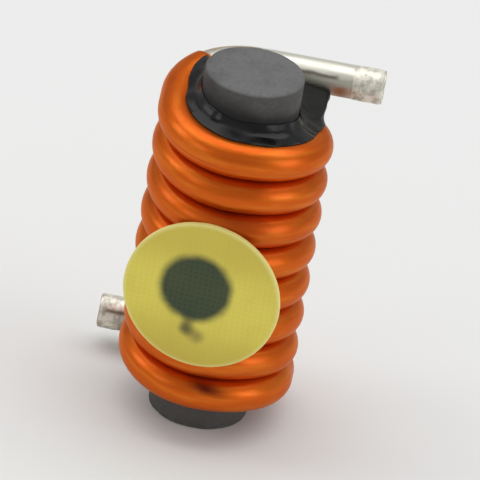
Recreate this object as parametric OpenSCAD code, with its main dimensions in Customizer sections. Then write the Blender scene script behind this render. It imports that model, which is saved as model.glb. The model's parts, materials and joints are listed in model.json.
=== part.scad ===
// Rod choke for surface mounting: a ferrite rod inside a close-wound coil of enamelled wire.
// The rod stands on its lower end at the origin, with its axis along Z. Both ends of the wire
// leave the back of the coil along X as straight leads, and a pick-up pad faces forward, to -Y.

/* [Core] */
// Diameter of the ferrite rod
core_d = 4; // [3:0.1:8]
// Bare length of the rod below the coil
lower_end = 0.65; // [0.3:0.05:6]
// Bare length of the rod above the coil
upper_end = 0.9; // [0.3:0.05:6]
// Radius of the rounded edge at both ends of the rod
core_edge = 0.12; // [0.05:0.01:0.25]

/* [Winding] */
// Diameter of the wire over its enamel
wire_d = 1.5; // [0.8:0.05:2.2]
// Thickness of the enamel, which is stripped from the leads
enamel_t = 0.08; // [0.03:0.01:0.15]
// Number of turns
turns = 8; // [4:1:16]
// Gap between neighbouring turns
turn_gap = 0.02; // [0.01:0.005:0.4]
// Gap between the coil and the rod
core_gap = 0.06; // [0.05:0.01:0.5]

/* [Leads] */
// How far the leads stand back from the back of the coil
lead_step = 0.8; // [0.2:0.05:2]
// Angle round the coil, from the leads on, over which the wire is stripped
strip_angle = 46; // [5:1:60]
// Length of the upper lead past the side of the coil
upper_lead_out = 1.5; // [0.6:0.05:8]
// Length of the lower lead past the side of the coil
lower_lead_out = 1.05; // [0.6:0.05:8]
// Thickness of the solder on the leads
tin_t = 0.03; // [0.01:0.01:0.1]

/* [Pick-up pad] */
// Diameter of the pad
pad_d = 6.4; // [4:0.1:10]
// Thickness of the pad
pad_t = 0.25; // [0.1:0.05:1]
// Gap between the coil and the back of the pad
pad_gap = 0.08; // [0.05:0.01:0.3]
// Height of the coil's middle above the middle of the pad
pad_drop = 0.45; // [-2:0.05:2]
// Turn of the pad about the rod, in degrees, away from the front
pad_turn = -7.5; // [-30:0.5:30]

/* [Rod adhesive] */
// Clearance between the adhesive and the pieces that it bonds
bond_gap = 0.02; // [0.015:0.005:0.04]
// Height that the adhesive climbs the rod above the first turn
climb = 0.6; // [0.2:0.05:0.8]
// Angle round the wire, from the rod's side, that the adhesive covers on average
wet_mean = 82; // [60:1:95]
// How much more and less of the wire it covers at one side and the other
wet_swing = 17; // [0:1:30]
// Direction in which it covers most of the wire
wet_dir = 320; // [270:5:330]
// Height that the adhesive rises where it meets the upper lead
web_rise = 0.3; // [0.1:0.05:0.5]
// How far inside the side of the coil its edge meets the upper lead
web_in = 0.45; // [0.3:0.05:1.2]
// How much further in that edge is half way up to the lead
web_waist = 0.18; // [0:0.02:0.3]

/* [Pad adhesive] */
// Radius of the dab behind the pad
dab_r = 1.45; // [0.8:0.05:1.8]
// Place of the dab's middle, to the right of the pad's middle
dab_right = -0.3; // [-0.6:0.05:0.6]
// Place of the dab's middle, above the pad's middle
dab_up = 0.28; // [-0.6:0.02:0.6]
// Depth that the dab reaches from the back of the pad into the coil
dab_depth = 0.4; // [0.3:0.05:0.6]
// Length of the run below the dab
run_len = 0.55; // [0:0.05:0.7]

/* [Hidden] */
$fn = 64;
wire_r = wire_d / 2;
bare_r = wire_r - enamel_t;
tin_r = bare_r + tin_t;
core_r = core_d / 2;

// A turn is two half rings, one tilted down to the front and one tilted down to the back. Both
// meet the plane x = 0 square on, so they run into one another without a kink. The first and the
// last have a straight leg at the side, which carries the leads back from the coil.
coil_r = core_r + core_gap + wire_r;
tilt = asin((wire_d + turn_gap) / (4 * coil_r));
pitch = (wire_d + turn_gap) / cos(tilt);
ring_r = coil_r / cos(tilt);
leg = lead_step / cos(tilt);
coil_side = ring_r + wire_r;
lead_y = coil_r + lead_step;
lower_lead_z = lower_end + wire_r;
coil_start_z = lower_lead_z + turns * pitch + leg * sin(tilt);
upper_lead_z = coil_start_z + leg * sin(tilt);
core_len = upper_lead_z + wire_r + upper_end;
// Overlap of the stripped wire with the enamel that it comes out of, in degrees
strip_lap = 3;

// Place along the upper lead where the edge of the adhesive meets it, and its direction in plan
web_x = coil_side - web_in;
lead_dir = 360 + atan2(lead_y, web_x);

pad_back = coil_side + pad_gap;
pad_z = (lower_lead_z + upper_lead_z) / 2 - pad_drop;

// Directions in plan run on from 90 at the back over 180 at the left, 270 at the front and 360
// at the right to 450, as the wire does on its way down.
bond_r = wire_r + bond_gap;
cover_from = 350;
cover_full = 392;
web_from = 368;
web_full = 386;
web_to = 438;
ring_dirs = [for (dir = [128 : 5 : 363]) dir];
web_dirs = [for (dir = [366 : 2 : web_to]) dir];
curve_steps = 5;
wire_arc_steps = 9;
lead_arc_steps = 3;
// Angles round the wire and the lead, from the side of the rod
wire_low_angle = -15;
lead_high_angle = 10;
lead_low_angle = -55;
lead_edge_angle = 15;
// How much more of the wire is covered where the first turn stands off, in degrees for each mm
gap_wet = 35;
// How much more of the wire is covered below the lead
web_wet = 45;
// How hollow the free surface is away from the lead and below it, and the stretch of it that the lead parts
hollow = 0.65;
web_hollow = -0.3;
part_from = 0.4;
part_to = 0.6;

dab_rings = 16;
dab_sectors = 120;
dab_wave = 0.04;
run_dir = 268;
run_spread = 11;

function mix(a, b, t) = a + (b - a) * t;
function smooth(t) = t <= 0 ? 0 : t >= 1 ? 1 : t * t * (3 - 2 * t);
function bezier(a, b, c, t) = mix(mix(a, b, t), mix(b, c, t), t);

// Distance from the rod's axis to the middle of the wire in direction dir, where the turn is
// drawn back by so much
function turn_r(dir, back = 0) =
    let (
        a = pow(cos(dir) / ring_r, 2) + pow(sin(dir) / coil_r, 2),
        b = back * sin(dir) / pow(coil_r, 2)
    )
    (b + sqrt(b * b + a * (1 - pow(back / coil_r, 2)))) / a;
// Height of the wire's middle on the first turn, at distance r from the axis in direction dir
function turn_z(dir, r) =
    coil_start_z - pitch / 2 + (dir < 270 ? 1 : -1) * (r * sin(dir) + coil_r) * tan(tilt);
// The first turn at its leg, which ends at the left
function first_turn_r(dir) = dir >= 180
    ? turn_r(dir)
    : -ring_r * tan(dir) < lead_step ? -ring_r / cos(dir) : turn_r(dir, lead_step);

// Points [radius, height] just clear of the first turn and of the upper lead, in direction dir
function on_wire(dir, angle) =
    let (
        r = first_turn_r(dir),
        y = r * sin(dir),
        across = [r * cos(dir), y - (dir < 180 ? min(y, lead_step) : 0)],
        slant = across * [cos(dir), sin(dir)] / norm(across)
    )
    [r, turn_z(dir, r)] + bond_r * [-cos(angle) / slant, sin(angle) / cos(tilt)];
function web_edge(dir) =
    let (t = (dir - web_from) / (lead_dir - web_from))
    (web_x - web_waist * sin(180 * max(0, min(t, 1)))) / cos(dir);
function on_lead(dir, angle) = [
    min((lead_y - (tin_r + bond_gap) * cos(angle)) / sin(dir), web_edge(dir)),
    upper_lead_z + (tin_r + bond_gap) * sin(angle)
];

// The adhesive's section in direction dir: up the rod, down a hollow free surface to the wire,
// and back over the wire. Where it webs to the lead, the free surface is parted by the lead.
function cover(dir) = smooth((dir - cover_from) / (cover_full - cover_from));
function web(dir) = smooth((dir - web_from) / (web_full - web_from));
function lead_top(dir) = mix(
    lead_low_angle + lead_edge_angle,
    lead_high_angle,
    smooth((dir - web_from) / (web_to - web_from))
);
function wet(dir) =
    wet_mean + wet_swing * cos(dir - wet_dir) + web_wet * cover(dir)
    + gap_wet * (first_turn_r(dir) - turn_r(dir));
function rod_top(dir) = min(
    turn_z(dir, coil_r) + wire_r + climb + web_rise * web(dir),
    core_len - core_edge
);
function glue_section(dir) =
    let (
        rod_side = core_r + bond_gap,
        top = [rod_side, rod_top(dir)],
        edge = on_wire(dir, wet(dir)),
        bend = mix((top + edge) / 2, [rod_side, edge.y], mix(hollow, web_hollow, cover(dir))),
        share = web(dir),
        upper = [for (i = [0 : lead_arc_steps])
            let (
                t = i / lead_arc_steps,
                free = bezier(top, bend, edge, mix(part_from, part_to, t))
            )
            share == 0 ? free : mix(free, on_lead(dir, mix(lead_top(dir), lead_low_angle, t)), share)
        ],
        first = upper[0],
        last = upper[lead_arc_steps],
        first_bend = mix(
            bezier(top, bend, edge, part_from / 2),
            [mix(top.x, first.x, part_from), first.y],
            share
        ),
        last_bend = mix(
            bezier(top, bend, edge, (part_to + 1) / 2),
            (last + edge) / 2,
            share
        )
    )
    concat(
        [[rod_side, on_wire(dir, wire_low_angle).y]],
        [for (i = [0 : curve_steps - 1]) bezier(top, first_bend, first, i / curve_steps)],
        upper,
        [for (i = [1 : curve_steps - 1]) bezier(last, last_bend, edge, i / curve_steps)],
        [for (i = [0 : wire_arc_steps]) on_wire(dir, mix(wet(dir), wire_low_angle, i / wire_arc_steps))]
    );

// Distance from the rod's axis to just outside the coil, in direction dir and above the pad's middle
function coil_out(dir, up) =
    let (
        r = turn_r(dir),
        fall = turn_z(dir, r) - pad_z - up,
        off = fall - pitch * round(fall / pitch)
    )
    r + sqrt(max(0, bond_r * bond_r - off * off));
// The same from the plane of the rod's axis, at a place right of and above the pad's middle
function coil_depth(right, up) =
    let (
        guess = coil_out(270 + pad_turn + asin(right / coil_side), up),
        out = coil_out(270 + pad_turn + asin(right / guess), up)
    )
    max(sqrt(out * out - right * right), pad_back - dab_depth);
function dab_edge(angle) =
    let (off = abs(angle - run_dir) / run_spread)
    dab_r + dab_wave * sin(3 * angle) + run_len * exp(-off * off);

// A solid between sections that are lists of points, each joined to the next
module loft(sections) {
    count = len(sections[0]);
    last = len(sections) - 1;
    polyhedron(
        points = [for (section = sections) each section],
        faces = concat(
            [[for (i = [0 : count - 1]) i]],
            [for (s = [0 : last - 1], i = [0 : count - 1])
                let (a = s * count + i, b = s * count + (i + 1) % count)
                each [[a, a + count, b], [b, a + count, b + count]]
            ],
            [[for (i = [count - 1 : -1 : 0]) last * count + i]]
        )
    );
}

module ferrite_core() {
    color([0.43, 0.43, 0.43])
    rotate_extrude() {
        square([core_r - core_edge, core_len]);
        translate([0, core_edge]) square([core_r, core_len - 2 * core_edge]);
        for (z = [core_edge, core_len - core_edge])
            translate([core_r - core_edge, z]) circle(core_edge);
    }
}

// A stretch of the ring round the coil, from one direction in plan to another
module arc(from, to, r) {
    rotate([0, 0, from]) rotate_extrude(angle = to - from) translate([ring_r, 0]) circle(r);
}

function leg_of(half) = half == 0 || half == 2 * turns - 1 ? leg : 0;

// Half a turn from the origin at the back over the left to the front, falling all the way. The
// first one starts with stripped wire, and the last one ends with it.
module half_turn(half) {
    first = half == 0;
    last = half == 2 * turns - 1;
    rotate([tilt, 0, 0]) translate([0, -ring_r, 0]) {
        if (first || last) {
            translate([-ring_r, 0, 0]) rotate([90, 0, 0]) cylinder(r = wire_r, h = leg);
            mirror([0, 1, 0]) arc(180, first ? 270 - strip_angle : 270, wire_r);
            translate([0, -leg, 0]) arc(180, last ? 270 - strip_angle : 270, wire_r);
        } else arc(90, 270, wire_r);
        if (first) arc(90, 90 + strip_angle + strip_lap, bare_r);
        if (last) translate([0, -leg, 0]) mirror([1, 0, 0])
            arc(270, 270 + strip_angle + strip_lap, bare_r);
    }
}

// Places its children where the wire is after so many half turns. Each half turn starts where the
// one before it ends and is turned round to face it, so every second one goes over the right.
module after_half_turns(count, done = 0) {
    if (done == count) children();
    else rotate([tilt, 0, 0])
        translate([0, -ring_r, 0]) translate([0, -leg_of(done), 0]) translate([0, -ring_r, 0])
        rotate([-tilt, 0, 0]) rotate([0, 0, 180]) after_half_turns(count, done + 1) children();
}

module at_upper_lead() {
    translate([0, lead_y, upper_lead_z]) rotate([0, 90, 0]) children();
}

module at_lower_lead() {
    translate([0, lead_y, upper_lead_z]) after_half_turns(2 * turns) rotate([0, -90, 0]) children();
}

module winding_wire() {
    color([0.74, 0.3, 0.05]) {
        for (half = [0 : 2 * turns - 1])
            translate([0, lead_y, upper_lead_z]) after_half_turns(half) half_turn(half);
        at_upper_lead() cylinder(r = bare_r, h = coil_side + upper_lead_out);
        at_lower_lead() cylinder(r = bare_r, h = coil_side + lower_lead_out);
    }
}

// Solder all round a straight lead, from the coil to the cut end, along +Z
module lead_tinning(out) {
    length = coil_side + out;
    color([0.75, 0.74, 0.7])
    difference() {
        cylinder(r = tin_r, h = length);
        translate([0, 0, -out]) cylinder(r = bare_r, h = length + 2 * out);
    }
}

module upper_lead_tinning() {
    at_upper_lead() lead_tinning(upper_lead_out);
}

module lower_lead_tinning() {
    at_lower_lead() lead_tinning(lower_lead_out);
}

module core_adhesive() {
    color([0.12, 0.12, 0.12])
    loft([for (dir = concat(ring_dirs, web_dirs))
        [for (p = glue_section(dir)) [p.x * cos(dir), p.x * sin(dir), p.y]]
    ]);
}

module pickup_pad() {
    color([0.8, 0.74, 0.35])
    rotate([0, 0, pad_turn]) translate([0, -pad_back, pad_z]) rotate([90, 0, 0])
        cylinder(d = pad_d, h = pad_t);
}

module pad_adhesive() {
    // Each ring holds the places right of and above the pad's middle
    rings = [for (i = [1 : dab_rings]) [for (j = [0 : dab_sectors - 1])
        let (angle = 360 * j / dab_sectors, r = dab_edge(angle) * i / dab_rings)
        [dab_right + r * cos(angle), dab_up + r * sin(angle)]
    ]];
    rim = (dab_rings - 1) * dab_sectors;
    centre = dab_rings * dab_sectors;
    color([0.15, 0.17, 0.13])
    rotate([0, 0, pad_turn]) translate([0, 0, pad_z]) polyhedron(
        points = concat(
            [for (ring = rings, p = ring) [p.x, -coil_depth(p.x, p.y), p.y]],
            [[dab_right, -coil_depth(dab_right, dab_up), dab_up]],
            [for (p = rings[dab_rings - 1]) [p.x, -pad_back, p.y]]
        ),
        faces = concat(
            [for (j = [0 : dab_sectors - 1]) [centre, j, (j + 1) % dab_sectors]],
            [for (i = [0 : dab_rings - 2], j = [0 : dab_sectors - 1])
                let (
                    a = i * dab_sectors + j,
                    b = i * dab_sectors + (j + 1) % dab_sectors
                )
                each [[a, a + dab_sectors, b], [b, a + dab_sectors, b + dab_sectors]]
            ],
            [for (j = [0 : dab_sectors - 1])
                let (
                    k = (j + 1) % dab_sectors,
                    back = centre + 1
                )
                each [[rim + j, back + j, rim + k], [rim + k, back + j, back + k]]
            ],
            [[for (j = [dab_sectors - 1 : -1 : 0]) centre + 1 + j]]
        )
    );
}

ferrite_core();
winding_wire();
upper_lead_tinning();
lower_lead_tinning();
core_adhesive();
pickup_pad();
pad_adhesive();
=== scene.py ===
"""Looks of a rod choke: a ferrite rod in a coil of enamelled wire, with adhesive and a pick-up pad.

Every piece keeps the place and form of the solid that it stands for. Lengths are in metres, and a
grain is the number of clouds of a pattern to a metre, unless a line says otherwise.
"""

import json
import logging
import math
from dataclasses import dataclass
from enum import Enum
from typing import Any, Iterable, Sequence, Union

import bmesh
import bpy
from mathutils import Matrix, Vector, noise


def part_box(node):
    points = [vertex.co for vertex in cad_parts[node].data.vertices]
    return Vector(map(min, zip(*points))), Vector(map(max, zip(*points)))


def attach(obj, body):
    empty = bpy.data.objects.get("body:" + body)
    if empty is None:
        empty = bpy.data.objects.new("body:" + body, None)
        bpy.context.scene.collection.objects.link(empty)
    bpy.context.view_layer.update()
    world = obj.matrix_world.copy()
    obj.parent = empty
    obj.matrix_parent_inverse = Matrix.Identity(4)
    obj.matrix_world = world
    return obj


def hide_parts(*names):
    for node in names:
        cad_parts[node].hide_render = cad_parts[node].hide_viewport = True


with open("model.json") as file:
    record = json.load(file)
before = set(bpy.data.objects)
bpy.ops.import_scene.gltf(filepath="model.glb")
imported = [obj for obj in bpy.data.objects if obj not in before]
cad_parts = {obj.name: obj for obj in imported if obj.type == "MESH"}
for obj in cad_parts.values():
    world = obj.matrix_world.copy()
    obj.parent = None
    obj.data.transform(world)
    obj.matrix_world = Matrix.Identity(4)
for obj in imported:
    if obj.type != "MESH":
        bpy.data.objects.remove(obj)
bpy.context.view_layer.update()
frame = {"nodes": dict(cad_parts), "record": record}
MM = 0.001
BODY = "root"
LOG = logging.getLogger("rod_choke")

Color = tuple[float, float, float]
Point = tuple[float, float]
Feed = Union["Signal", float, Sequence[float]]


def linear(step: float) -> float:
    """Turns a colour's step of 0 to 255 into the linear value that a shader takes."""
    share = step / 255
    return share / 12.92 if share <= 0.04045 else ((share + 0.055) / 1.055) ** 2.4


def srgb(red: float, green: float, blue: float) -> Color:
    """Returns the linear colour of red, green and blue in steps of 0 to 255."""
    return linear(red), linear(green), linear(blue)


def unit(value: float) -> float:
    """Keeps a number between 0 and 1."""
    return min(1.0, max(0.0, value))


def mount(name: str) -> dict[str, Any]:
    """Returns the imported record's mount of that name."""
    return next(m for m in frame["record"]["mounts"] if m["name"] == name)


class Signal:
    """A node's output that takes part in Python expressions: each operator adds a Math node."""

    def __init__(self, graph: "Graph", socket: bpy.types.NodeSocket) -> None:
        """Keeps the output and the graph that it belongs to."""
        self.graph = graph
        self.socket = socket

    def __add__(self, other: Feed) -> "Signal":
        """Adds."""
        return self.graph.math("ADD", self, other)

    def __radd__(self, other: Feed) -> "Signal":
        """Adds to a number."""
        return self.graph.math("ADD", other, self)

    def __sub__(self, other: Feed) -> "Signal":
        """Subtracts."""
        return self.graph.math("SUBTRACT", self, other)

    def __rsub__(self, other: Feed) -> "Signal":
        """Subtracts from a number."""
        return self.graph.math("SUBTRACT", other, self)

    def __mul__(self, other: Feed) -> "Signal":
        """Multiplies."""
        return self.graph.math("MULTIPLY", self, other)

    def __rmul__(self, other: Feed) -> "Signal":
        """Multiplies a number."""
        return self.graph.math("MULTIPLY", other, self)

    def __truediv__(self, other: Feed) -> "Signal":
        """Divides."""
        return self.graph.math("DIVIDE", self, other)

    def __rtruediv__(self, other: Feed) -> "Signal":
        """Divides a number."""
        return self.graph.math("DIVIDE", other, self)

    def __neg__(self) -> "Signal":
        """Changes the sign."""
        return self.graph.math("MULTIPLY", self, -1.0)

    def clamp(self, low: Feed, high: Feed) -> "Signal":
        """Keeps the value between two limits."""
        return self.graph.math("MINIMUM", self.graph.math("MAXIMUM", self, low), high)

    def step(self, low: Feed, high: Feed) -> "Signal":
        """Rises smoothly from 0 at low to 1 at high, which may lie below low.

        Args:
            low: Value at which it is 0.
            high: Value at which it is 1.

        Returns:
            The share.
        """
        node = self.graph.node(
            "ShaderNodeMapRange",
            {"interpolation_type": "SMOOTHSTEP"},
            Value=self,
            From_Min=low,
            From_Max=high,
        )
        return self.graph.out(node)

    def near(self, middle: float, reach: float) -> "Signal":
        """Is 1 at the middle and falls smoothly to 0 at a reach from it."""
        return 1 - self.graph.math("ABSOLUTE", self - middle).step(0.0, reach)


class Graph:
    """A node tree that is written as expressions."""

    def __init__(self, tree: bpy.types.NodeTree) -> None:
        """Keeps the tree."""
        self.tree = tree

    def node(
        self,
        kind: str,
        settings: dict[str, Any] | None = None,
        *ordered: Feed,
        **named: Feed,
    ) -> bpy.types.Node:
        """Adds a node.

        Args:
            kind: The node's type.
            settings: The node's own settings, which are set first.
            ordered: Values or links of its sockets, in order.
            named: Values or links of its sockets by name, with _ for a blank.

        Returns:
            The node.
        """
        made = self.tree.nodes.new(kind)
        for key, value in (settings or {}).items():
            setattr(made, key, value)
        sockets = [s for s in made.inputs if s.enabled]
        for socket, value in zip(sockets, ordered):
            self._feed(socket, value)
        for key, value in named.items():
            name = key.replace("_", " ")
            self._feed(next(s for s in sockets if s.name == name), value)
        return made

    def _feed(self, socket: bpy.types.NodeSocket, value: Feed) -> None:
        """Links a signal to a socket, or sets the socket's value.

        Args:
            socket: The socket.
            value: The signal, or the number, colour or vector.
        """
        if isinstance(value, Signal):
            self.tree.links.new(value.socket, socket)
        elif socket.type == "RGBA" and len(value) == 3:
            socket.default_value = (*value, 1.0)
        else:
            socket.default_value = value

    def out(self, node: bpy.types.Node, name: str = "") -> Signal:
        """Returns a node's output by name, or its first one."""
        outputs = [s for s in node.outputs if s.enabled]
        return Signal(self, next((s for s in outputs if s.name == name), outputs[0]))

    def math(self, operation: str, *values: Feed) -> Signal:
        """Adds a Math node."""
        return self.out(self.node("ShaderNodeMath", {"operation": operation}, *values))

    def length(self, x: Signal, y: Signal) -> Signal:
        """Returns the length of a line with these two sides."""
        return self.math("SQRT", x * x + y * y)

    def mix(self, factor: Feed, low: Feed, high: Feed) -> Signal:
        """Mixes two colours."""
        return self.out(self.node("ShaderNodeMix", {"data_type": "RGBA"}, factor, low, high))

    def vector(self, x: Feed, y: Feed, z: Feed) -> Signal:
        """Makes a vector of three values."""
        return self.out(self.node("ShaderNodeCombineXYZ", None, x, y, z))

    def parts(self, vector: Signal) -> tuple[Signal, Signal, Signal]:
        """Parts a vector into its three values."""
        node = self.node("ShaderNodeSeparateXYZ", None, vector)
        return self.out(node, "X"), self.out(node, "Y"), self.out(node, "Z")

    def noise(self, vector: Signal, grain: float, detail: float = 2.0, rough: float = 0.5) -> Signal:
        """Adds a cloudy pattern from 0 to 1.

        Args:
            vector: The place in the pattern.
            grain: Number of clouds to a unit of length.
            detail: Number of finer patterns on top of it.
            rough: Share of each finer pattern.

        Returns:
            The pattern.
        """
        node = self.node(
            "ShaderNodeTexNoise",
            None,
            Vector=vector,
            Scale=grain,
            Detail=detail,
            Roughness=rough,
        )
        return self.out(node)

    def place(self) -> Signal:
        """Returns the place on the object, in its own frame."""
        return self.out(self.node("ShaderNodeTexCoord"), "Object")

    def attribute(self, name: str) -> Signal:
        """Returns a number that is stored on the mesh."""
        return self.out(self.node("ShaderNodeAttribute", {"attribute_name": name}), "Fac")

    def bump(self, height: Signal, depth: float, strength: float) -> Signal:
        """Turns a height into a normal."""
        node = self.node("ShaderNodeBump", None, Strength=strength, Distance=depth, Height=height)
        return self.out(node)


class Surface(Graph):
    """A material with one Principled shader."""

    def __init__(self, name: str) -> None:
        """Makes an empty material.

        Args:
            name: Name of the material.
        """
        self.material = bpy.data.materials.new(name)
        self.material.use_nodes = True
        super().__init__(self.material.node_tree)
        self.tree.nodes.clear()

    def finish(self, **inputs: Feed) -> bpy.types.Material:
        """Adds the shader.

        Args:
            inputs: Values or links of the shader's sockets, with _ for a blank.

        Returns:
            The material.
        """
        shader = self.node("ShaderNodeBsdfPrincipled", None, **inputs)
        self.node("ShaderNodeOutputMaterial", None, Surface=self.out(shader))
        return self.material


@dataclass(frozen=True)
class EpoxyFilmAndShade:
    """A soft dark band round the rod, partly a film of epoxy and partly painted shade near the
    fillet: it starts and is full at depths below the rod's upper end.

    It falls to the right by the slope, which paints more shade on the left side; its edge wanders by
    the ragged length, and the share is its strength.
    """

    start: float
    full: float
    slope: float
    ragged: float
    share: float


@dataclass(frozen=True)
class FerriteFinish:
    """Matt sintered ferrite, with painted light that makes both flat ends paler than the side, and a
    film of epoxy with painted shade that darkens the rod towards the fillet.
    """

    side: Color = srgb(80, 79, 77)
    # painted light: paler colour of the flat ends, as if lit from above
    end: Color = srgb(106, 106, 106)
    speck: Color = srgb(140, 140, 139)
    pit: Color = srgb(52, 51, 50)
    # dark colour of the epoxy film, also used as painted shade near the fillet
    epoxy: Color = srgb(18, 18, 18)
    fine_grain: float = 6500.0
    coarse_grain: float = 6500.0 / 6
    bump_depth: float = 0.03 * MM
    smears: tuple[EpoxyFilmAndShade, ...] = (
        EpoxyFilmAndShade(start=0.2 * MM, full=0.95 * MM, slope=0.28, ragged=0.4 * MM, share=0.55),
        EpoxyFilmAndShade(start=0.75 * MM, full=1.15 * MM, slope=0.1, ragged=0.2 * MM, share=0.8),
    )

    def material(self, length: float, edge: float) -> bpy.types.Material:
        """Makes the material.

        Args:
            length: Length of the rod.
            edge: Radius of its rounded edges.

        Returns:
            The material.
        """
        s = Surface("ferrite")
        place = s.place()
        x, _, z = s.parts(place)
        fine = s.noise(place, self.fine_grain, 3.0)
        coarse = s.noise(place, self.coarse_grain)
        # painted light: both flat ends get the paler colour and more pale specks, as if lit from
        # above
        ends = z.step(length - edge, length - 0.3 * edge) + z.step(edge, 0.3 * edge)
        color = s.mix(ends, self.side, self.end)
        color = s.mix(fine.step(0.52, 0.75) * (0.12 + ends * 0.1), color, self.speck)
        color = s.mix(fine.step(0.48, 0.28) * 0.3, color, self.pit)
        color = s.mix(coarse.step(0.4, 0.7) * 0.16, color, self.pit)
        upper_half = z.step(0.5 * length, 0.6 * length)
        # painted shade: the bands darken the rod towards the fillet and more on its left side, partly
        # as a film of epoxy
        for film_and_shade in self.smears:
            below = length - z - x * film_and_shade.slope + (coarse - 0.5) * film_and_shade.ragged
            amount = below.step(film_and_shade.start, film_and_shade.full) * upper_half * film_and_shade.share
            color = s.mix(amount, color, self.epoxy)
        return s.finish(
            Base_Color=color,
            Roughness=0.6 + fine * 0.25,
            Specular_IOR_Level=0.4,
            Normal=s.bump(fine * 0.6 + coarse * 0.4, self.bump_depth, 0.45),
        )


@dataclass(frozen=True)
class WireFinish:
    """Copper wire with orange enamel, stripped and thinly tinned at both ends.

    Lengths along the wire are in millimetres here, as they are stored on its mesh.
    """

    enamel: Color = srgb(211, 93, 14)
    deep: Color = srgb(166, 56, 10)
    pale: Color = srgb(229, 128, 36)
    smudge: Color = srgb(108, 22, 2)
    copper: Color = srgb(196, 116, 78)
    tin: Color = srgb(226, 224, 212)
    dull: Color = srgb(140, 136, 118)
    edge_tint: tuple[float, float, float, float] = (0.85, 0.6, 0.4, 1.0)
    streak_pace: Point = (0.6, 2.8)
    cloud_pace: Point = (0.35, 0.5)
    fine_grain: float = 6500.0
    ragged_grain: float = 2600.0
    dull_grain: float = 2300.0
    worn_grain: float = 1500.0
    bump_depth: float = 0.028 * MM
    enamel_edge: float = 0.05
    smudge_place: Point = (0.27 * MM, 2.8 * MM)
    smudge_reach: Point = (1.1 * MM, 0.3 * MM)
    smudge_slope: float = 0.17
    smudge_ragged: float = 0.16 * MM
    smudge_front: Point = (0.0, -1 * MM)
    worn_depth: Point = (0.1 * MM, 0.55 * MM)

    def material(self, strip: float, total: float, lead_z: Point) -> bpy.types.Material:
        """Makes the material, which reads how far along and around the wire a place lies.

        Args:
            strip: Length of the stripped wire on the coil.
            total: Length of the wire on the coil.
            lead_z: Heights of the upper and the lower lead.

        Returns:
            The material.
        """
        s = Surface("enamelled_copper")
        place = s.place()
        along, around = s.attribute("along"), s.attribute("around")
        streaks = self._wrapped(s, along, around, self.streak_pace, 3.0)
        clouds = self._wrapped(s, along, around, self.cloud_pace, 2.0)
        fine = s.noise(place, self.fine_grain)
        ragged = (s.noise(place, self.ragged_grain) - 0.5) * 0.5
        blur = self.enamel_edge
        coated = (along + ragged).step(strip - blur, strip + blur)
        coated = coated * (along - ragged).step(total - strip + blur, total - strip - blur)
        enamel = s.mix(streaks.step(0.42, 0.72) * 0.5, self.enamel, self.pale)
        enamel = s.mix(clouds.step(0.56, 0.78) * 0.5, enamel, self.deep)
        enamel = s.mix(self._smudge_mask(s, place, ragged), enamel, self.smudge)
        lead_height = along.step(0.4 * total, 0.6 * total) * (lead_z[1] - lead_z[0]) + lead_z[0]
        tinned = self._tinned(s, place, lead_height)
        return s.finish(
            Base_Color=s.mix(coated, tinned, enamel),
            Metallic=0.95 - coated * 0.1,
            Roughness=0.31 + fine * 0.1 + coated * 0.02,
            Specular_Tint=self.edge_tint,
            Coat_Weight=coated * 0.15,
            Coat_Roughness=0.16,
            Normal=s.bump(streaks * 0.7 + fine * 0.3, self.bump_depth, 0.5),
        )

    def _wrapped(
        self, s: Surface, along: Signal, around: Signal, pace: Point, detail: float
    ) -> Signal:
        """Wraps a cloudy pattern round the wire without a seam.

        Args:
            s: The material.
            along: How far along the wire a place lies.
            around: Its angle about the wire's middle.
            pace: How fast the pattern changes along and across the wire.
            detail: Number of finer patterns on top of it.

        Returns:
            The pattern.
        """
        right, up = s.math("COSINE", around), s.math("SINE", around)
        place = s.vector(along * pace[0], right * pace[1], up * pace[1])
        return s.noise(place, 1.0, detail)

    def _smudge_mask(self, s: Surface, place: Signal, ragged: Signal) -> Signal:
        """Is 1 on the small dark patch on the front of the last turn.

        Args:
            s: The material.
            place: The place on the wire.
            ragged: Unevenness of the dark patch's edge.

        Returns:
            The mask.
        """
        x, y, z = s.parts(place)
        line = z + x * self.smudge_slope + ragged * self.smudge_ragged
        wide = x.near(self.smudge_place[0], self.smudge_reach[0])
        front = y.step(*self.smudge_front)
        return line.near(self.smudge_place[1], self.smudge_reach[1]) * wide * front

    def _tinned(self, s: Surface, place: Signal, lead_height: Signal) -> Signal:
        """Colours the stripped wire, whose copper shows on the underside.

        Args:
            s: The material.
            place: The place on the wire.
            lead_height: Height of the lead's middle.

        Returns:
            The colour.
        """
        _, _, z = s.parts(place)
        under = (lead_height - z).step(*self.worn_depth)
        worn = (s.noise(place, self.worn_grain, 3.0) * 0.6 + under * 0.55).step(0.62, 0.78)
        dull = s.noise(place, self.dull_grain, 3.0).step(0.5, 0.75) * 0.6
        return s.mix(worn, s.mix(dull, self.tin, self.dull), self.copper)


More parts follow.
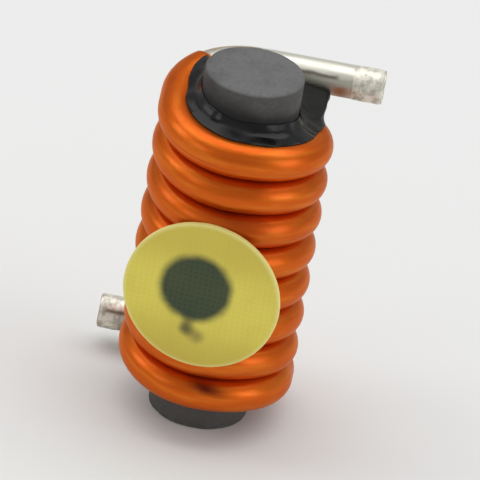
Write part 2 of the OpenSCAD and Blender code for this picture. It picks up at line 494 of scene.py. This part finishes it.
@dataclass(frozen=True)
class SolderFinish:
    """Tin on a lead, bright along the lead and dull on its dipped end, with copper where it is worn.

    A place's rise is its height above the lead's middle along a slant that is fixed to the lead, the
    slant at which the camera looks at it. The lift gives what its plain height and its distance in
    front of the middle count for in it. Painted shade greys the lead below its middle, and a painted
    dark reflection runs along its front where it faces the camera.
    """

    bright: Color = srgb(236, 234, 222)
    # grey of streaks and mottles, also used as painted shade on the lower side of the lead
    grey: Color = srgb(150, 147, 128)
    dull: Color = srgb(244, 241, 228)
    # stains on the dipped end, and the colour of the painted dark reflection on the front
    stain: Color = srgb(96, 82, 62)
    copper: Color = srgb(158, 120, 92)
    mottle_grain: float = 3600.0
    blot_grain: float = 1500.0
    streak_grain: float = 4200.0
    streak_stretch: float = 0.15
    bump_depth: float = 0.035 * MM
    lift: Point = (0.87, 0.49)
    under_rise: Point = (0.1 * MM, -0.08 * MM)
    worn_rise: Point = (-0.28 * MM, -0.42 * MM)
    seam_rise: float = 0.04 * MM
    seam_reach: float = 0.15 * MM
    seam_fade: float = 0.3 * MM
    worn_before_dip: float = 0.45 * MM
    worn_reach: float = 0.6 * MM
    cut_depth: float = 0.1 * MM
    dip_edge: float = 0.04 * MM
    dip_ragged: float = 0.25 * MM
    rough_run: float = 1.5 * MM

    def material(
        self,
        name: str,
        middle: Vector,
        way: int,
        dip: float,
        end: float,
        seam: float,
        bare_cut: float,
    ) -> bpy.types.Material:
        """Makes the material.

        Args:
            name: Name of the material.
            middle: A point on the axis of the lead.
            way: The way that the lead points along X.
            dip: Distance along the lead at which the dipped end starts.
            end: Distance along the lead at which it ends.
            seam: Distance along the lead at which the painted dark reflection on its front ends.
            bare_cut: Share of copper that shows on the cut end.

        Returns:
            The material.
        """
        s = Surface(name)
        place = s.place()
        x, y, z = s.parts(place)
        along, fore, high = x * way, middle.y - y, z - middle.z
        mottle = s.noise(place, self.mottle_grain, 3.0, 0.6)
        blot = s.noise(place, self.blot_grain)
        streak = s.noise(s.vector(x * self.streak_stretch, y, z), self.streak_grain, 3.0)
        blotted = (blot - 0.5) * MM
        rise = high * self.lift[0] - fore * self.lift[1] + blotted * 0.18
        # painted shade: the lower side of the lead is greyed
        under = rise.step(*self.under_rise)
        # painted reflection: a dark line along the front of the lead, where it faces the camera
        dark = rise.near(self.seam_rise, self.seam_reach)
        dark = dark * (along + blotted * 0.4).step(seam, seam - self.seam_fade)
        coat = s.mix(streak.step(0.4, 0.75) * 0.25 + under * 0.5, self.bright, self.grey)
        worn = along.near(dip - self.worn_before_dip, self.worn_reach)
        worn = rise.step(*self.worn_rise) * worn
        coat = s.mix(worn, coat, self.copper)
        # grey mottles on the dipped end, with a little painted shade below the middle
        dipped = s.mix(mottle.step(0.42, 0.64) * 0.5 + under * 0.1, self.dull, self.grey)
        dipped = s.mix(blot.step(0.56, 0.72) * 0.4, dipped, self.stain)
        cut = (along + blotted * 0.2).step(end - self.cut_depth, end)
        dipped = s.mix(cut * blot.step(0.4, 0.55) * bare_cut, dipped, self.copper)
        edge = along + (mottle - 0.5) * self.dip_ragged
        edge = edge.step(dip - self.dip_edge, dip + self.dip_edge)
        rough = 0.32 + along.step(0.0, self.rough_run) * 0.06 + streak * 0.12 + edge * mottle * 0.16
        lumps = edge * (mottle * 0.6 + blot * 0.4) + streak * 0.2
        # the painted dark reflection is laid over the tin in the base colour
        return s.finish(
            Base_Color=s.mix(dark * 0.8, s.mix(edge, coat, dipped), self.stain),
            Metallic=0.9 - worn * 0.2 - edge * 0.25,
            Roughness=rough,
            Normal=s.bump(lumps, self.bump_depth, 0.5),
        )


@dataclass(frozen=True)
class EpoxyFinish:
    """Black epoxy that has run and set, glossy with duller patches."""

    black: Color = srgb(10, 10, 10)
    grey: Color = srgb(28, 29, 29)
    lump_grain: float = 800.0
    dust_grain: float = 8000.0
    bump_depth: float = 0.08 * MM
    dull_place: Point = (-0.4 * MM, -2.4 * MM)
    dull_reach: float = 0.9 * MM
    web_x: Point = (1.6 * MM, 2.2 * MM)
    web_y: Point = (0.2 * MM, 0.9 * MM)

    def material(self) -> bpy.types.Material:
        """Makes the material.

        Returns:
            The material.
        """
        s = Surface("black_epoxy")
        place = s.place()
        lumps = s.noise(place, self.lump_grain, 1.0)
        dust = s.noise(place, self.dust_grain)
        x, y, _ = s.parts(place)
        dull = x.near(self.dull_place[0], self.dull_reach)
        dull = dull * y.near(self.dull_place[1], self.dull_reach)
        web = x.step(*self.web_x) * y.step(*self.web_y)
        return s.finish(
            Base_Color=s.mix(lumps.step(0.5, 0.75) * 0.6, self.black, self.grey),
            Roughness=0.12 + lumps.step(0.45, 0.7) * 0.16 + dust * 0.08 + dull * 0.5 + web * 0.35,
            Specular_IOR_Level=0.24,
            Coat_Weight=0.08,
            Coat_Roughness=0.08,
            Normal=s.bump(lumps * (0.9 - web * 0.9) + dust * 0.1, self.bump_depth, 0.5),
        )


@dataclass(frozen=True)
class GlassClothFinish:
    """Yellow glass cloth in resin, through which the dab of adhesive behind it shows."""

    yellow: Color = srgb(230, 213, 80)
    thread: Color = srgb(240, 230, 124)
    shade: Color = srgb(200, 178, 70)
    dab: Color = srgb(34, 56, 44)
    run: Color = srgb(116, 98, 56)
    # paler rim: thinner resin at the edge, with painted light that the edge catches
    rim: Color = srgb(242, 236, 164)
    pitch: float = 0.22 * MM
    ripple_grain: float = 700.0
    cloud_grain: float = 420.0
    wobble_grain: float = 1100.0
    wobble: float = 0.4 * MM
    bump_depth: float = 0.012 * MM
    run_fade: Point = (0.46 * MM, 0.04 * MM)
    dab_fade: Point = (1.14, 0.82)

    def material(
        self,
        middle: Vector,
        turn: float,
        radius: float,
        dab_place: Point,
        dab_radius: float,
        run: Sequence[Point],
    ) -> bpy.types.Material:
        """Makes the material.

        Args:
            middle: Middle of the pad's front.
            turn: Angle of the pad about the rod.
            radius: Radius of the pad.
            dab_place: Middle of the dab, to the right of and above the pad's middle.
            dab_radius: Radius of the dab.
            run: Corners of the run below the dab, to the right of and above the pad's middle.

        Returns:
            The material.
        """
        s = Surface("glass_cloth")
        mapped = s.node(
            "ShaderNodeMapping",
            {"vector_type": "POINT"},
            Vector=s.place(),
            Location=Matrix.Rotation(-turn, 3, "Z") @ -middle,
            Rotation=(0.0, 0.0, -turn),
        )
        place = s.out(mapped)
        right, _, up = s.parts(place)
        ripple = s.noise(place, self.ripple_grain, 1.0) * 3.0
        across = s.math("SINE", right * (math.tau / self.pitch) + ripple)
        along = s.math("SINE", up * (math.tau / self.pitch) + ripple)
        weave = across * along * 0.5 + 0.5
        threads = s.math("MAXIMUM", across, along) * 0.5 + 0.5
        cloud = s.noise(place, self.cloud_grain, 3.0)
        color = s.mix(weave * 0.18 + threads * 0.24, self.yellow, self.thread)
        color = s.mix(cloud.step(0.45, 0.75) * 0.3, color, self.shade)
        # painted shade: the pad is darker towards the bottom and across its upper part
        color = s.mix(up.step(-0.2 * radius, -radius) * 0.85, color, self.shade)
        color = s.mix(up.step(0.1 * radius, 0.7 * radius) * 0.55, color, self.shade)
        # paler rim: thinner resin at the edge, with painted light that the edge catches
        color = s.mix(s.length(right, up).step(0.94 * radius, radius) * 0.5, color, self.rim)
        wobble = (s.noise(place, self.wobble_grain) - 0.5) * self.wobble
        neck = self._line(s, right, up, wobble, run[0], run[1])
        hook = self._line(s, right, up, wobble, run[1], run[2])
        color = s.mix(neck * 0.62, s.mix(hook * 0.6, color, self.run), self.dab)
        away = s.length(right - dab_place[0], up - dab_place[1]) + wobble * 0.6
        spot = away.step(*(share * dab_radius for share in self.dab_fade))
        return s.finish(
            Base_Color=s.mix(spot * (0.94 + cloud * 0.06 - threads * 0.02), color, self.dab),
            Roughness=0.5 + weave * 0.12,
            Specular_IOR_Level=0.35,
            Normal=s.bump(weave * 0.6 + threads * 0.4, self.bump_depth, 0.35),
        )

    def _line(
        self,
        s: Surface,
        right: Signal,
        up: Signal,
        wobble: Signal,
        start: Point,
        end: Point,
    ) -> Signal:
        """Is 1 along a line on the pad, and falls off softly beside it.

        Args:
            s: The material.
            right: How far right of the pad's middle a place lies.
            up: How far above the pad's middle it lies.
            wobble: Unevenness of the line's edge.
            start: Start of the line.
            end: End of the line.

        Returns:
            The mask.
        """
        run_x, run_y = end[0] - start[0], end[1] - start[1]
        square = run_x * run_x + run_y * run_y
        off_x, off_y = right - start[0], up - start[1]
        share = (off_x * (run_x / square) + off_y * (run_y / square)).clamp(0.0, 1.0)
        away = s.length(off_x - share * run_x, off_y - share * run_y) + wobble * 0.5
        return away.step(*self.run_fade)


@dataclass(frozen=True)
class FloorFinish:
    """Plain pale matt floor."""

    pale: Color = srgb(236, 237, 236)
    dim: float = 0.98
    cloud_grain: float = 30.0

    def material(self) -> bpy.types.Material:
        """Makes the material.

        Returns:
            The material.
        """
        s = Surface("pale_floor")
        cloud = s.noise(s.place(), self.cloud_grain)
        color = s.mix(cloud * 0.5, self.pale, [self.dim * c for c in self.pale])
        return s.finish(Base_Color=color, Roughness=1.0, Specular_IOR_Level=0.0)


def new_piece(name: str, mesh: bmesh.types.BMesh, material: bpy.types.Material) -> bpy.types.Object:
    """Makes a smooth-shaded piece of a mesh and puts it into the scene.

    Args:
        name: Name of the piece.
        mesh: The piece's mesh, which is freed.
        material: Its material.

    Returns:
        The piece.
    """
    data = bpy.data.meshes.new(name)
    mesh.to_mesh(data)
    mesh.free()
    data.shade_smooth()
    data.materials.append(material)
    piece = bpy.data.objects.new(name, data)
    bpy.context.scene.collection.objects.link(piece)
    return piece


def settle(piece: bpy.types.Object, slot: str, *nodes: str) -> None:
    """Puts a piece on the body, in place of its solids.

    Args:
        piece: The piece.
        slot: The record's material slot; not used.
        nodes: The solids that it stands for.
    """
    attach(piece, BODY)
    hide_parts(*nodes)
    LOG.info("%s: %d faces", piece.name, len(piece.data.polygons))


def apply_modifiers(piece: bpy.types.Object) -> None:
    """Turns what a piece's modifiers make of it into its plain mesh.

    Args:
        piece: The piece.
    """
    view = bpy.context.evaluated_depsgraph_get()
    mesh = bpy.data.meshes.new_from_object(piece.evaluated_get(view))
    piece.modifiers.clear()
    old, piece.data = piece.data, mesh
    bpy.data.meshes.remove(old)


def lathe(outline: Iterable[Point], sides: int) -> bmesh.types.BMesh:
    """Turns an outline about the Z axis, from its lower end to its upper one.

    Args:
        outline: Points of radius and height. The first and the last ring are closed with a flat face.
        sides: Number of sides.

    Returns:
        The closed mesh.
    """
    mesh = bmesh.new()
    angles = [math.tau * i / sides for i in range(sides)]
    rings = [
        [mesh.verts.new((r * math.cos(a), r * math.sin(a), z)) for a in angles]
        for r, z in outline
    ]
    mesh.faces.new(reversed(rings[0]))
    for low, high in zip(rings, rings[1:]):
        for i in range(sides):
            j = (i + 1) % sides
            mesh.faces.new((low[i], low[j], high[j], high[i]))
    mesh.faces.new(rings[-1])
    return mesh


def arc(middle: Point, radius: float, start: float, end: float, steps: int) -> list[Point]:
    """Returns points of radius and height on an arc, between two angles in degrees."""
    angles = [math.radians(start + (end - start) * i / steps) for i in range(steps + 1)]
    return [(middle[0] + radius * math.cos(a), middle[1] + radius * math.sin(a)) for a in angles]


@dataclass(frozen=True)
class RoundedDisc:
    """Outline of a round piece with flat ends and rounded edges.

    The caps are the rings on the flat ends, as shares of the radius inside the rounded edge.
    """

    radius: float
    height: float
    edge: float
    edge_steps: int
    caps: Point
    bands: int = 1

    def outline(self) -> list[Point]:
        """Draws the outline from the lower end to the upper one.

        Returns:
            Points of radius and height.
        """
        inner = self.radius - self.edge
        caps = [share * inner for share in self.caps]
        points = [(r, 0.0) for r in caps]
        points += arc((inner, self.edge), self.edge, -90, 0, self.edge_steps)
        points += [(self.radius, self.height * i / self.bands) for i in range(1, self.bands)]
        points += arc((inner, self.height - self.edge), self.edge, 0, 90, self.edge_steps)
        points += [(r, self.height) for r in reversed(caps)]
        return points


@dataclass
class FerriteRod:
    """The rod, with slightly chipped round edges. The chips' grain is to a millimetre."""

    edge: float = 0.12 * MM
    edge_steps: int = 6
    caps: Point = (0.5, 0.97)
    bands: int = 12
    sides: int = 160
    chip: float = 0.07 * MM
    chip_grain: float = 2.2
    chip_floor: float = 0.1
    finish: FerriteFinish = FerriteFinish()

    def build(self) -> bpy.types.Object:
        """Builds and dresses the rod.

        Returns:
            The piece.
        """
        low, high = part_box("ferrite_core")
        radius, length = high.x, high.z - low.z
        disc = RoundedDisc(radius, length, self.edge, self.edge_steps, self.caps, self.bands)
        mesh = lathe(disc.outline(), self.sides)
        self._chip_edges(mesh, radius, length)
        return new_piece("rod", mesh, self.finish.material(length, self.edge))

    def _chip_edges(self, mesh: bmesh.types.BMesh, radius: float, length: float) -> None:
        """Wears small chips into both edges.

        Args:
            mesh: The rod's mesh.
            radius: Radius of the rod.
            length: Length of the rod.
        """
        for vert in mesh.verts:
            from_end = min(vert.co.z, length - vert.co.z)
            from_side = radius - math.hypot(vert.co.x, vert.co.y)
            if from_end < self.edge and from_side < self.edge:
                rough = noise.noise(vert.co / MM * self.chip_grain)
                wear = max(0.0, rough - self.chip_floor) * self.chip
                vert.co.x *= 1 - wear / radius
                vert.co.y *= 1 - wear / radius


@dataclass
class Winding:
    """The wire: an upper lead, turns of two tilted half rings each, and a lower lead.

    The first and the last half ring have a straight leg at the side, which carries the leads back.
    """

    turns: int = 8
    enamel: float = 0.08 * MM
    enamel_ramp: float = 0.1 * MM
    strip_angle: float = math.radians(46)
    points: int = 1300
    profile_points: int = 36
    finish: WireFinish = WireFinish()

    def __post_init__(self) -> None:
        """Works out the sizes from the frame."""
        low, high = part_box("winding_wire")
        upper, lower = mount("upper_lead")["pos_m"], mount("lower_lead")["pos_m"]
        self.upper_reach, self.lower_reach = high.x, -low.x
        self.lead_y, self.upper_z, self.lower_z = upper[1], upper[2], lower[2]
        self.bare_r = high.y - self.lead_y
        self.wire_r = self.bare_r + self.enamel
        self.coil_r = -low.y - self.wire_r
        self.lead_step = self.lead_y - self.coil_r
        fall = 4 * self.turns * self.coil_r + 2 * self.lead_step
        self.tilt = math.atan((self.upper_z - self.lower_z) / fall)
        self.ring_r = self.coil_r / math.cos(self.tilt)
        self.leg = self.lead_step / math.cos(self.tilt)
        self.total = 2 * self.turns * math.pi * self.ring_r + 2 * self.leg

    def build(self) -> bpy.types.Object:
        """Builds and dresses the wire.

        Returns:
            The piece.
        """
        strip = self.ring_r * self.strip_angle
        material = self.finish.material(strip / MM, self.total / MM, (self.upper_z, self.lower_z))
        sizes = {
            "Points": self.points,
            "Profile Points": self.profile_points,
            "Half Turns": 2.0 * self.turns,
            "Ring Radius": self.ring_r / MM,
            "Coil Radius": self.coil_r / MM,
            "Lead Step": self.lead_step / MM,
            "Slope": math.tan(self.tilt),
            "Leg": self.leg / MM,
            "Coil Length": self.total / MM,
            "Upper Reach": self.upper_reach / MM,
            "Lower Reach": self.lower_reach / MM,
            "Upper Height": self.upper_z / MM,
            "Bare Radius": self.bare_r / MM,
            "Enamel": self.enamel / MM,
            "Enamel Ramp": self.enamel_ramp / MM,
            "Strip": strip / MM,
        }
        piece = new_piece("wire", bmesh.new(), material)
        modifier = piece.modifiers.new("winding", "NODES")
        tree, identifiers = self._tree(sizes, material)
        modifier.node_group = tree
        for name, value in sizes.items():
            modifier[identifiers[name]] = value
        apply_modifiers(piece)
        return piece

    def _tree(
        self, sizes: dict[str, float], material: bpy.types.Material
    ) -> tuple[bpy.types.NodeTree, dict[str, str]]:
        """Builds the tree that winds the wire, in millimetres.

        Args:
            sizes: The tree's inputs.
            material: The wire's material.

        Returns:
            The tree, and the identifier of each input.
        """
        tree = bpy.data.node_groups.new("winding", "GeometryNodeTree")
        identifiers = {}
        for name, value in sizes.items():
            kind = "NodeSocketInt" if isinstance(value, int) else "NodeSocketFloat"
            socket = tree.interface.new_socket(name, in_out="INPUT", socket_type=kind)
            identifiers[name] = socket.identifier
        tree.interface.new_socket("Geometry", in_out="OUTPUT", socket_type="NodeSocketGeometry")
        g = Graph(tree)
        source = g.node("NodeGroupInput")
        size = {name: g.out(source, name) for name in sizes}
        place, along = self._path(g, size)
        line = g.node("GeometryNodeMeshLine", None, Count=size["Points"])
        line = g.node("GeometryNodeSetPosition", None, Geometry=g.out(line), Position=place)
        line = g.node("GeometryNodeMeshToCurve", None, g.out(line))
        wire_line = self._store(g, g.out(line), "along", along)
        made = g.node(
            "GeometryNodeCurveToMesh",
            None,
            Curve=wire_line,
            Profile_Curve=self._profile(g, size),
            Scale=self._radius(size, along),
            Fill_Caps=True,
        )
        made = g.node("GeometryNodeTransform", None, Geometry=g.out(made), Scale=(MM, MM, MM))
        made = g.node("GeometryNodeSetShadeSmooth", None, Geometry=g.out(made))
        made = g.node("GeometryNodeRealizeInstances", None, g.out(made))
        made = g.node("GeometryNodeSetMaterial", None, Geometry=g.out(made), Material=material)
        g.node("NodeGroupOutput", None, g.out(made))
        return tree, identifiers

    def _path(self, g: Graph, size: dict[str, Signal]) -> tuple[Signal, Signal]:
        """Places the points of the wire's middle line.

        Args:
            g: The tree.
            size: The tree's inputs.

        Returns:
            The place of each point, and how far along the wire it lies from the start of the coil.
        """
        index = g.out(g.node("GeometryNodeInputIndex"))
        whole = size["Upper Reach"] + size["Coil Length"] + size["Lower Reach"]
        along = index * whole / (size["Points"] - 1) - size["Upper Reach"]
        wound = along.clamp(0.0, size["Coil Length"])
        ring, leg = size["Ring Radius"], size["Leg"]
        quarter = ring * (math.pi / 2)
        first = (wound - quarter).clamp(0.0, leg)
        last = (wound - (size["Coil Length"] - quarter - leg)).clamp(0.0, leg)
        angle = (wound - first - last) / ring
        half = g.math("MINIMUM", g.math("FLOOR", angle / math.pi), size["Half Turns"] - 1)
        flat = size["Lead Step"] / leg
        x = (
            g.math("MAXIMUM", -along, 0.0)
            - g.math("MAXIMUM", along - size["Coil Length"], 0.0)
            - ring * g.math("SINE", angle)
        )
        y = size["Coil Radius"] * g.math("COSINE", angle) + size["Lead Step"] - (first - last) * flat
        run = size["Coil Radius"] * (half * 2 + 1 - g.math("COSINE", angle - half * math.pi))
        z = size["Upper Height"] - size["Slope"] * (run + (first + last) * flat)
        return g.vector(x, y, z), along

    def _radius(self, size: dict[str, Signal], along: Signal) -> Signal:
        """Returns the wire's radius, which grows by the enamel between the stripped ends.

        Args:
            size: The tree's inputs.
            along: How far along the wire a point lies.

        Returns:
            The radius.
        """
        strip, full = size["Strip"], size["Strip"] + size["Enamel Ramp"]
        coated = along.step(strip, full) * (size["Coil Length"] - along).step(strip, full)
        return size["Bare Radius"] + size["Enamel"] * coated

    def _profile(self, g: Graph, size: dict[str, Signal]) -> Signal:
        """Draws the wire's round section, of radius 1, with the angle of each of its points.

        Args:
            g: The tree.
            size: The tree's inputs.

        Returns:
            The section.
        """
        points = size["Profile Points"]
        ring = g.node("GeometryNodeCurvePrimitiveCircle", {"mode": "RADIUS"}, Resolution=points)
        index = g.out(g.node("GeometryNodeInputIndex"))
        return self._store(g, g.out(ring), "around", index * math.tau / points)

    def _store(self, g: Graph, geometry: Signal, name: str, value: Signal) -> Signal:
        """Stores a number on the points of a curve.

        Args:
            g: The tree.
            geometry: The curve.
            name: Name of the number.
            value: The number.

        Returns:
            The curve that carries it.
        """
        node = g.node(
            "GeometryNodeStoreNamedAttribute",
            {"data_type": "FLOAT", "domain": "POINT"},
            Geometry=geometry,
            Name=name,
            Value=value,
        )
        return g.out(node)


class Lead(Enum):
    """The two leads, with the way that each one points along X."""

    UPPER = 1
    LOWER = -1

    @property
    def node(self) -> str:
        """Names the solid of the lead's tin."""
        return f"{self.name.lower()}_lead_tinning"


@dataclass
class LeadTin:
    """Tin on a lead: a thin coat from the coil on, and a thicker uneven dip on the end.

    The swelling's grain is to a millimetre. The caps are the rings on the cut end, as shares of
    its flat radius.
    """

    lead: Lead
    dip: float = 1.26 * MM
    dip_slope: float = 0.1 * MM
    thickness: float = 0.03 * MM
    taper: float = 0.4 * MM
    taper_start: float = 0.1
    coat: float = 0.012 * MM
    swell: float = 0.022 * MM
    swell_slope: float = 0.15 * MM
    swell_grain: float = 2.4
    swell_shift: float = 9.0
    round_end: float = 0.16 * MM
    round_steps: int = 8
    overrun: float = 0.032 * MM
    coil_cap: float = 0.9
    end_caps: tuple[float, ...] = (0.8, 0.6, 0.4, 0.2)
    # length of the end that is left without the painted dark reflection
    plain_end: float = 1.7 * MM
    bare_cut: float = 0.0
    rings: int = 70
    sides: int = 72
    finish: SolderFinish = SolderFinish()

    def build(self) -> bpy.types.Object:
        """Builds and dresses the tin.

        Returns:
            The piece.
        """
        low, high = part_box(self.lead.node)
        way = self.lead.value
        radius, length = (high.z - low.z) / 2, high.x - low.x
        middle = Vector((0.0, (low.y + high.y) / 2, (low.z + high.z) / 2))
        start, end = length - self.dip, length + self.overrun
        mesh = lathe(self._outline(radius, start, end), self.sides)
        self._swell_dip(mesh, start)
        turn = Matrix.Translation(middle) @ Matrix.Rotation(way * math.pi / 2, 4, "Y")
        bmesh.ops.transform(mesh, matrix=turn, verts=mesh.verts)
        name = f"{self.lead.name.lower()}_lead_tin"
        # the painted dark reflection on the front stops here
        seam = length - self.plain_end
        material = self.finish.material(name, middle, way, start, end, seam, self.bare_cut)
        return new_piece(name, mesh, material)

    def _outline(self, radius: float, start: float, end: float) -> list[Point]:
        """Draws the tin's outline from the coil to the cut end.

        Args:
            radius: Radius of the tin.
            start: Distance along the lead at which the dipped end starts.
            end: Distance along the lead at which it ends.

        Returns:
            Points of radius and distance.
        """
        corner = (radius - self.round_end, end - self.round_end)
        bare = radius - self.thickness
        outline = [(self.coil_cap * bare, 0.0)]
        for i in range(self.rings + 1):
            place = corner[1] * i / self.rings
            full = radius - self.coat * (1 - unit((place - start) / self.dip_slope))
            share = min(1.0, self.taper_start + place / self.taper)
            outline.append((bare + (full - bare) * share, place))
        outline += arc(corner, self.round_end, 0, 90, self.round_steps)[1:]
        outline += [(corner[0] * share, end) for share in self.end_caps]
        return outline

    def _swell_dip(self, mesh: bmesh.types.BMesh, start: float) -> None:
        """Makes the dipped end uneven.

        Args:
            mesh: The tin's mesh, which still stands on the Z axis.
            start: Distance along the lead at which the dipped end starts.
        """
        shift = Vector((0, 0, self.swell_shift * self.lead.value))
        for vert in mesh.verts:
            dipped = unit((vert.co.z - start) / self.swell_slope)
            bulge = noise.noise(vert.co / MM * self.swell_grain + shift) * self.swell * dipped
            vert.co += Vector((vert.co.x, vert.co.y, 0)).normalized() * bulge
            vert.co.z += bulge * dipped


@dataclass
class Adhesive:
    """Adhesive drawn from its solid, smooth and lumpy as epoxy sets. Its grain is to a millimetre."""

    name: str
    node: str
    joint: float = 0.0001 * MM
    splits: int = 2
    smooth_share: float = 0.5
    smooth_rounds: int = 9
    lump: float = 0.05 * MM
    lump_grain: float = 1.5

    def build(self, material: bpy.types.Material) -> bpy.types.Object:
        """Builds and dresses the adhesive.

        Args:
            material: The epoxy.

        Returns:
            The piece.
        """
        piece = new_piece(self.name, self._solid_copy(), material)
        split = piece.modifiers.new("split", "SUBSURF")
        split.levels = split.render_levels = self.splits
        smooth = piece.modifiers.new("smooth", "SMOOTH")
        smooth.factor = self.smooth_share
        smooth.iterations = self.smooth_rounds
        apply_modifiers(piece)
        piece.data.shade_smooth()
        normals = [v.normal.copy() for v in piece.data.vertices]
        for vert, normal in zip(piece.data.vertices, normals):
            vert.co += normal * noise.noise(vert.co / MM * self.lump_grain) * self.lump
        return piece

    def _solid_copy(self) -> bmesh.types.BMesh:
        """Copies the solid's mesh and joins corners that lie in one place.

        Returns:
            The mesh.
        """
        mesh = bmesh.new()
        mesh.from_mesh(frame["nodes"][self.node].data)
        bmesh.ops.remove_doubles(mesh, verts=mesh.verts, dist=self.joint)
        return mesh


@dataclass
class PickupPad:
    """The round pad of glass cloth on the front of the coil. The fray's grain is to a millimetre."""

    edge: float = 0.05 * MM
    edge_steps: int = 4
    caps: Point = (0.5, 0.98)
    sides: int = 220
    fray: float = 0.012 * MM
    fray_grain: float = 4.0
    dab_place: Point = (-0.25 * MM, 0.28 * MM)
    dab_radius: float = 1.5 * MM
    run: tuple[Point, ...] = (
        (-0.34 * MM, -1.1 * MM),
        (-0.38 * MM, -1.6 * MM),
        (0.1 * MM, -1.84 * MM),
    )
    finish: GlassClothFinish = GlassClothFinish()

    def build(self) -> bpy.types.Object:
        """Builds and dresses the pad.

        Returns:
            The piece.
        """
        face = mount("pickup_face")
        middle, axis = Vector(face["pos_m"]), Vector(face["axis"])
        turn = math.atan2(axis.x, -axis.y)
        low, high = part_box("pickup_pad")
        radius = (high.z - low.z) / 2
        depth = (high.y - low.y - 2 * radius * abs(axis.x)) / abs(axis.y)
        disc = RoundedDisc(radius, depth, self.edge, self.edge_steps, self.caps)
        mesh = lathe(disc.outline(), self.sides)
        for vert in mesh.verts:
            if math.hypot(vert.co.x, vert.co.y) > radius - self.edge:
                rough = abs(noise.noise(vert.co / MM * self.fray_grain))
                vert.co.xy *= 1 - self.fray * rough / radius
        facing = axis.to_track_quat("Z", "Y").to_matrix().to_4x4()
        place = Matrix.Translation(middle - axis * depth) @ facing
        bmesh.ops.transform(mesh, matrix=place, verts=mesh.verts)
        material = self.finish.material(
            middle, turn, radius, self.dab_place, self.dab_radius, self.run
        )
        return new_piece("pad", mesh, material)


@dataclass(frozen=True)
class Lamp:
    """A soft lamp that faces the object, with its power in watts."""

    name: str
    place: tuple[float, float, float]
    width: float
    height: float
    power: float

    def hang(self, aim: Vector) -> None:
        """Hangs the lamp.

        Args:
            aim: The point that it faces.
        """
        data = bpy.data.lights.new(self.name, "AREA")
        data.shape = "RECTANGLE"
        data.size = self.width
        data.size_y = self.height
        data.energy = self.power
        lamp = bpy.data.objects.new(self.name, data)
        lamp.location = self.place
        ahead = aim - Vector(self.place)
        lamp.rotation_euler = ahead.to_track_quat("-Z", "Y").to_euler()
        bpy.context.scene.collection.objects.link(lamp)


@dataclass
class Studio:
    """The floor, the light and the camera of the photograph."""

    image: float = 480.0
    pixels_per_mm: float = 25.01
    distance: float = 434.8 * MM
    aim_height: float = 7.775 * MM
    aim_pixel: Point = (226.2, 238.9)
    azimuth: float = math.radians(1.29)
    elevation: float = math.radians(29.55)
    roll: float = math.radians(9.95)
    clip: Point = (0.01, 10.0)
    floor_size: float = 0.6
    floor_cells: int = 4
    sky: float = 0.47
    lamps: tuple[Lamp, ...] = (
        Lamp("top", (0.0, 0.07, 0.33), width=0.62, height=0.28, power=0.79),
        Lamp("right", (0.32, -0.14, 0.12), width=0.2, height=0.2, power=0.21),
        Lamp("left", (-0.31, -0.025, 0.17), width=0.12, height=0.12, power=0.12),
        Lamp("front", (-0.28, -0.235, 0.17), width=0.1, height=0.1, power=0.065),
    )
    finish: FloorFinish = FloorFinish()

    def build(self) -> None:
        """Builds the studio."""
        aim = Vector((0, 0, self.aim_height))
        self._camera(aim)
        self._floor()
        self._sky()
        for lamp in self.lamps:
            lamp.hang(aim)
        bpy.context.scene.view_settings.view_transform = "Standard"

    def _camera(self, middle: Vector) -> None:
        """Sets the camera where the photograph was taken from.

        Args:
            middle: The point that lies on the aim pixel of the picture.
        """
        flat = Vector((math.cos(self.azimuth), math.sin(self.azimuth), 0))
        ahead = Vector((-math.sin(self.azimuth), math.cos(self.azimuth), 0))
        back = -ahead * math.cos(self.elevation) + Vector((0, 0, math.sin(self.elevation)))
        rise = ahead * math.sin(self.elevation) + Vector((0, 0, math.cos(self.elevation)))
        right = flat * math.cos(self.roll) + rise * math.sin(self.roll)
        up = rise * math.cos(self.roll) - flat * math.sin(self.roll)
        off_x, off_y = (self.image / 2 - p for p in self.aim_pixel)
        aim = middle + (right * off_x - up * off_y) / self.pixels_per_mm * MM
        data = bpy.data.cameras.new("camera")
        data.lens = data.sensor_width * self.distance / (self.image / self.pixels_per_mm * MM)
        data.clip_start, data.clip_end = self.clip
        camera = bpy.data.objects.new("camera", data)
        turn = Matrix((right, up, back)).transposed().to_4x4()
        camera.matrix_world = Matrix.Translation(aim + back * self.distance) @ turn
        bpy.context.scene.collection.objects.link(camera)
        bpy.context.scene.camera = camera

    def _floor(self) -> None:
        """Lays the floor under the rod."""
        mesh = bmesh.new()
        cells = self.floor_cells
        bmesh.ops.create_grid(mesh, x_segments=cells, y_segments=cells, size=self.floor_size / 2)
        new_piece("floor", mesh, self.finish.material())

    def _sky(self) -> None:
        """Lights the scene evenly from all round."""
        world = bpy.data.worlds.new("studio")
        world.use_nodes = True
        background = world.node_tree.nodes["Background"]
        background.inputs["Color"].default_value = (1, 1, 1, 1)
        background.inputs["Strength"].default_value = self.sky
        bpy.context.scene.world = world


def main() -> None:
    """Builds the choke and its studio."""
    logging.basicConfig(level=logging.INFO, format="%(name)s: %(message)s")
    Studio().build()
    epoxy = EpoxyFinish().material()
    upper_tin = LeadTin(Lead.UPPER)
    lower_tin = LeadTin(Lead.LOWER, dip=0.85 * MM, plain_end=0.05 * MM, bare_cut=0.8)
    fillet = Adhesive("fillet", "core_adhesive")
    dab = Adhesive("dab", "pad_adhesive", splits=1, lump=0.0)
    settle(FerriteRod().build(), "ferrite", "ferrite_core")
    settle(Winding().build(), "enamelled_copper", "winding_wire")
    for tin in (upper_tin, lower_tin):
        settle(tin.build(), "solder", tin.lead.node)
    settle(fillet.build(epoxy), "black_epoxy", fillet.node)
    settle(PickupPad().build(), "glass_cloth", "pickup_pad")
    settle(dab.build(epoxy), "black_epoxy", dab.node)


if __name__ == "__main__":
    main()
